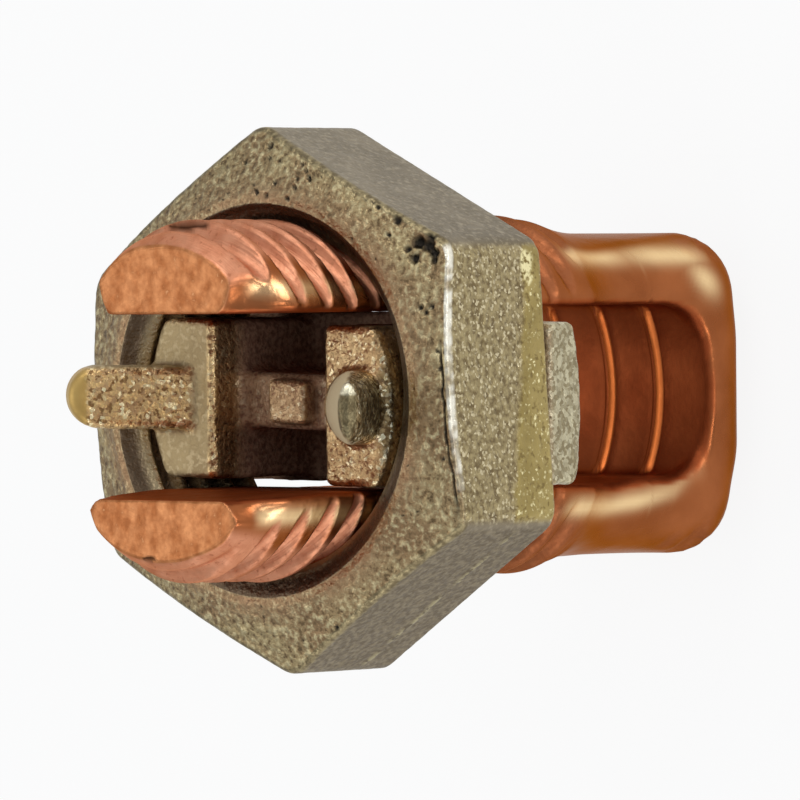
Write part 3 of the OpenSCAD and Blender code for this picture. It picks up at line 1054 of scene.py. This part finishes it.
def cast_metal():
    """Sand-cast bronze of the nut."""
    p = Paint("cast_bronze")
    pit_shade, flat, right, low, strip, facet_glint = (
        p.mark(m) for m in ("pit_shade", "flat", "right", "low", "strip", "facet_glint")
    )
    rub, edge, rim, bore, groove = (p.mark(m) for m in ("rub", "edge", "rim", "bore", "groove"))
    cloud, speck, dust = p.noise(2.6, 3.0), p.noise(0.32, 3.0), p.noise(0.13, 2.0)
    tone = p.cells(0.14)
    # Painted glints on the brightest grains of the right flat and the strip
    painted_sparkle = p.fit(tone, 0.78, 0.95)
    face = p.grade(cloud, 0.35, 0.65, (0.29, 0.19, 0.10), (0.41, 0.315, 0.165))
    face = p.grade(speck, 0.5, 0.68, face, (0.62, 0.52, 0.30))
    face = p.grade(speck, 0.44, 0.34, face, (0.17, 0.115, 0.06))
    dull = p.grade(cloud, 0.35, 0.65, (0.225, 0.185, 0.125), (0.30, 0.25, 0.175))
    dull = p.grade(speck, 0.5, 0.7, dull, (0.38, 0.32, 0.225))
    # Lower flats darker, partly painted shade
    tint = p.grade(speck, 0.4, 0.65, (0.175, 0.135, 0.085), (0.29, 0.235, 0.15))
    dull = p.mix(low, dull, tint)
    bright = p.grade(speck, 0.35, 0.6, (0.20, 0.145, 0.07), (0.42, 0.335, 0.175))
    bright = p.mix(painted_sparkle, bright, (0.70, 0.60, 0.38))
    smooth = p.grade(cloud, 0.35, 0.65, (0.34, 0.255, 0.09), (0.50, 0.385, 0.15))
    smooth = p.grade(speck, 0.44, 0.34, smooth, (0.25, 0.18, 0.065))
    smooth = p.mix(p.masked(painted_sparkle, speck, 0.48, 0.6), smooth, (0.92, 0.82, 0.46))
    side = p.mix(right, dull, bright)
    colour = p.mix(flat, face, side)
    colour = p.mix(strip, colour, smooth)
    # Painted glint on the facet and, fainter, along the seam
    colour = p.mix(p.masked(facet_glint, speck, 0.38, 0.5), colour, (0.95, 0.85, 0.48))
    colour = p.mix(p.masked(rub, cloud, 0.3, 0.6), colour, (0.35, 0.21, 0.115))
    tint = p.grade(speck, 0.4, 0.6, (0.20, 0.155, 0.085), (0.36, 0.29, 0.16))
    colour = p.mix(rim, colour, tint)
    # Painted highlight along the front edge of the right flat
    colour = p.mix(edge, colour, (0.94, 0.89, 0.76))
    # Bore in tan, with painted shade dark in the roots of its thread
    colour = p.mix(bore, colour, p.mix(groove, (0.44, 0.34, 0.20), (0.14, 0.095, 0.06)))
    # Painted shade in the blowholes and the fissure
    colour = p.mix(pit_shade, colour, (0.03, 0.025, 0.02))
    rough = p.blend(flat, p.fit(tone, 0.0, 1.0, 0.32, 0.55), p.fit(tone, 0.0, 1.0, 0.45, 0.6))
    rough = p.blend(right, rough, p.fit(tone, 0.0, 1.0, 0.45, 0.25))
    rough = p.blend(strip, rough, p.fit(speck, 0.3, 0.7, 0.28, 0.42))
    strength = p.blend(flat, p.fit(right, 0.0, 1.0, 0.8, 0.9), p.fit(right, 0.0, 1.0, 0.3, 0.9))
    strength = p.blend(strip, strength, p.fit(cloud, 0.3, 0.7, 0.4, 0.7))
    coarse = p.bump(p.noise(0.65, 3.0), 0.13, strength)
    medium = p.bump(speck, 0.09, strength, coarse)
    normal = p.bump(dust, 0.04, strength, medium)
    return p.finish(colour, rough, normal)


def bar_metal():
    """Grainy cast bronze of the pressure bar."""
    p = Paint("bar_bronze")
    edge, recess_shade, crease_shade, tip, foot, flank, butt, plate, lug, crust, spot = (
        p.mark(m)
        for m in (
            "edge", "recess_shade", "crease_shade", "tip", "foot", "flank",
            "butt", "plate", "lug", "crust", "spot",
        )
    )
    cloud, speck, dust = p.noise(2.2, 3.0), p.noise(0.3, 3.0), p.noise(0.13, 2.0)
    tone = p.cells(0.2)
    colour = p.grade(cloud, 0.35, 0.65, (0.47, 0.295, 0.14), (0.63, 0.44, 0.225))
    colour = p.grade(speck, 0.46, 0.34, colour, (0.25, 0.125, 0.06))
    colour = p.grade(tone, 0.8, 0.97, colour, (0.80, 0.66, 0.40))
    colour = p.mix(p.masked(lug, tone, 0.1, 0.9), colour, (0.80, 0.54, 0.22))
    colour = p.mix(p.masked(lug, speck, 0.47, 0.38), colour, (0.26, 0.145, 0.055))
    # Painted glints on the brightest grains of the far lug's top
    colour = p.mix(p.masked(lug, tone, 0.82, 0.95), colour, (0.97, 0.84, 0.50))
    even = p.grade(cloud, 0.35, 0.65, (0.36, 0.265, 0.14), (0.47, 0.355, 0.19))
    even = p.grade(speck, 0.5, 0.66, even, (0.60, 0.475, 0.28))
    colour = p.mix(plate, colour, even)
    tint = p.grade(tone, 0.2, 0.9, (0.31, 0.255, 0.15), (0.62, 0.56, 0.38))
    colour = p.mix(foot, colour, tint)
    colour = p.mix(p.masked(edge, speck, 0.4, 0.55), colour, (0.92, 0.68, 0.34))
    # Painted shade in the recesses
    tint = p.grade(speck, 0.4, 0.6, (0.22, 0.12, 0.078), (0.38, 0.235, 0.155))
    colour = p.mix(recess_shade, colour, tint)
    # Painted shade in the concave creases
    colour = p.mix(crease_shade, colour, (0.17, 0.095, 0.05))
    colour = p.mix(flank, colour, (0.55, 0.435, 0.255))
    tint = p.grade(speck, 0.4, 0.6, (0.13, 0.085, 0.04), (0.36, 0.27, 0.14))
    colour = p.mix(crust, colour, tint)
    # Painted glints on the brightest grains of the near lug's crust
    colour = p.mix(p.masked(crust, tone, 0.62, 0.85), colour, (0.95, 0.88, 0.64))
    tint = p.grade(speck, 0.4, 0.6, (0.15, 0.115, 0.06), (0.26, 0.21, 0.115))
    colour = p.mix(butt, colour, tint)
    # Painted glint: a pale spot on the end of the near lug
    colour = p.mix(spot, colour, (0.82, 0.76, 0.56))
    tint = p.grade(cloud, 0.35, 0.65, (0.48, 0.30, 0.085), (0.60, 0.40, 0.13))
    colour = p.mix(tip, colour, tint)
    rough = p.blend(tip, p.fit(tone, 0.0, 1.0, 0.5, 0.28), p.fit(speck, 0.3, 0.7, 0.46, 0.58))
    rough = p.blend(flank, rough, p.fit(speck, 0.3, 0.7, 0.6, 0.7))
    rough = p.blend(plate, rough, p.fit(speck, 0.3, 0.7, 0.5, 0.6))
    calm = p.blend(plate, p.fit(tip, 0.0, 1.0, 0.85, 0.1), p.fit(cloud, 0.3, 0.7, 0.3, 0.45))
    calm = p.blend(flank, calm, p.fit(cloud, 0.3, 0.7, 0.15, 0.2))
    coarse = p.bump(p.noise(0.6, 3.0), 0.12, calm)
    medium = p.bump(speck, 0.08, calm, coarse)
    normal = p.bump(dust, 0.04, calm, medium)
    # The painted shade in the recesses is also not metallic and has no specular
    dull = p.math("MAXIMUM", recess_shade, flank)
    solid = p.fit(p.math("MAXIMUM", dull, p.math("MULTIPLY", lug, 0.25)), 0.0, 1.0, 1.0, 0.0)
    p.links.new(solid, p.shader.inputs["Metallic"])
    p.links.new(p.fit(recess_shade, 0.0, 1.0, 0.5, 0.0), p.shader.inputs["Specular IOR Level"])
    return p.finish(colour, rough, normal)


bolt_points, bolt_faces, bolt_marks = build_bolt()
make_piece(
    "split_bolt", bolt_points, bolt_faces, bolt_marks, "split_bolt", copper_metal()
)
nut_points, nut_faces, nut_marks = build_nut()
make_piece("hex_nut", nut_points, nut_faces, nut_marks, "hex_nut", cast_metal())
bar_points, bar_faces = surface_net(bar_field, *BAR_GRID, BAR_CELL)
make_piece(
    "pressure_bar",
    bar_points,
    bar_faces,
    bar_marks(bar_points),
    "pressure_bar",
    bar_metal(),
)

# Stage, light and camera

FLOOR = 2.0
FLOOR_GREY = 0.85
# Share of the glow in what the camera and what a mirroring surface sees of the floor
SEEN_GLOW = 0.88
MIRRORED_GLOW = 0.5

floor_mesh = bpy.data.meshes.new("floor")
corners = [(-FLOOR, -FLOOR, 0), (FLOOR, -FLOOR, 0), (FLOOR, FLOOR, 0), (-FLOOR, FLOOR, 0)]
floor_mesh.from_pydata(corners, [], [(0, 1, 2, 3)])
floor = bpy.data.objects.new("floor", floor_mesh)
bpy.context.scene.collection.objects.link(floor)
floor_material = bpy.data.materials.new("floor")
floor_material.use_nodes = True
nodes = floor_material.node_tree.nodes
links = floor_material.node_tree.links
nodes.clear()
output = nodes.new("ShaderNodeOutputMaterial")
mix = nodes.new("ShaderNodeMixShader")
diffuse = nodes.new("ShaderNodeBsdfDiffuse")
diffuse.inputs["Color"].default_value = (FLOOR_GREY, FLOOR_GREY, FLOOR_GREY, 1)
glow = nodes.new("ShaderNodeEmission")
glow.inputs["Strength"].default_value = 1.0
path = nodes.new("ShaderNodeLightPath")
seen = nodes.new("ShaderNodeMath")
seen.operation = "MULTIPLY"
seen.inputs[1].default_value = SEEN_GLOW
links.new(path.outputs["Is Camera Ray"], seen.inputs[0])
mirrored = nodes.new("ShaderNodeMath")
mirrored.operation = "MAXIMUM"
links.new(path.outputs["Is Glossy Ray"], mirrored.inputs[0])
links.new(path.outputs["Is Transmission Ray"], mirrored.inputs[1])
share = nodes.new("ShaderNodeMath")
share.operation = "MULTIPLY_ADD"
share.inputs[1].default_value = MIRRORED_GLOW
links.new(mirrored.outputs[0], share.inputs[0])
links.new(seen.outputs[0], share.inputs[2])
links.new(share.outputs[0], mix.inputs["Fac"])
links.new(diffuse.outputs[0], mix.inputs[1])
links.new(glow.outputs[0], mix.inputs[2])
links.new(mix.outputs[0], output.inputs["Surface"])
floor_mesh.materials.append(floor_material)

world = bpy.data.worlds.new("studio")
bpy.context.scene.world = world
world.use_nodes = True
background = world.node_tree.nodes["Background"]
background.inputs["Color"].default_value = (0.9, 0.95, 1.0, 1)
background.inputs["Strength"].default_value = 0.5


def soft_box(name, place, target, size, power):
    """Area lamp at a place, turned towards a target."""
    data = bpy.data.lights.new(name, "AREA")
    data.shape = "RECTANGLE"
    data.size, data.size_y = size
    data.energy = power
    lamp = bpy.data.objects.new(name, data)
    lamp.location = place
    lamp.rotation_euler = (Vector(target) - Vector(place)).to_track_quat("-Z", "Y").to_euler()
    bpy.context.scene.collection.objects.link(lamp)


# Name, place and target in metres, size in metres, power in watts
LAMPS = [
    ("key", (0.13, -0.01, 0.12), (0.012, -0.002, 0.0), (0.07, 0.07), 0.06),
    ("top", (-0.02, 0.30, 0.42), (0, 0, 0.03), (0.36, 0.36), 0.5),
    ("low", (0.21, -0.28, 0.07), (0, 0, 0.03), (0.12, 0.10), 0.2),
    ("front", (0.03, -0.33, 0.15), (0, 0, 0.03), (0.08, 0.05), 0.1),
    ("side", (-0.16, -0.30, 0.06), (0, 0, 0.03), (0.12, 0.10), 0.16),
    ("fill", (-0.15, -0.02, 0.10), (-0.03, 0, 0.01), (0.10, 0.10), 0.06),
]
for lamp_row in LAMPS:
    soft_box(*lamp_row)

# Camera fitted to the photograph: its place in millimetres, and its axes
CAMERA_PLACE = Vector((6.489, -283.549, 344.132))
CAMERA_RIGHT = Vector((-0.008511, -0.750464, -0.660857))
CAMERA_UP = Vector((0.999844, 0.003853, -0.017251))
CAMERA_BACK = Vector((0.015492, -0.660901, 0.750314))
CAMERA_LENS = 360
CAMERA_SENSOR = 36

camera_data = bpy.data.cameras.new("camera")
camera_data.lens = CAMERA_LENS
camera_data.sensor_width = CAMERA_SENSOR
camera = bpy.data.objects.new("camera", camera_data)
turned = Matrix((CAMERA_RIGHT, CAMERA_UP, CAMERA_BACK)).transposed().to_4x4()
camera.matrix_world = Matrix.Translation(CAMERA_PLACE * MM) @ turned
bpy.context.scene.collection.objects.link(camera)
bpy.context.scene.camera = camera
bpy.context.scene.view_settings.view_transform = "Standard"
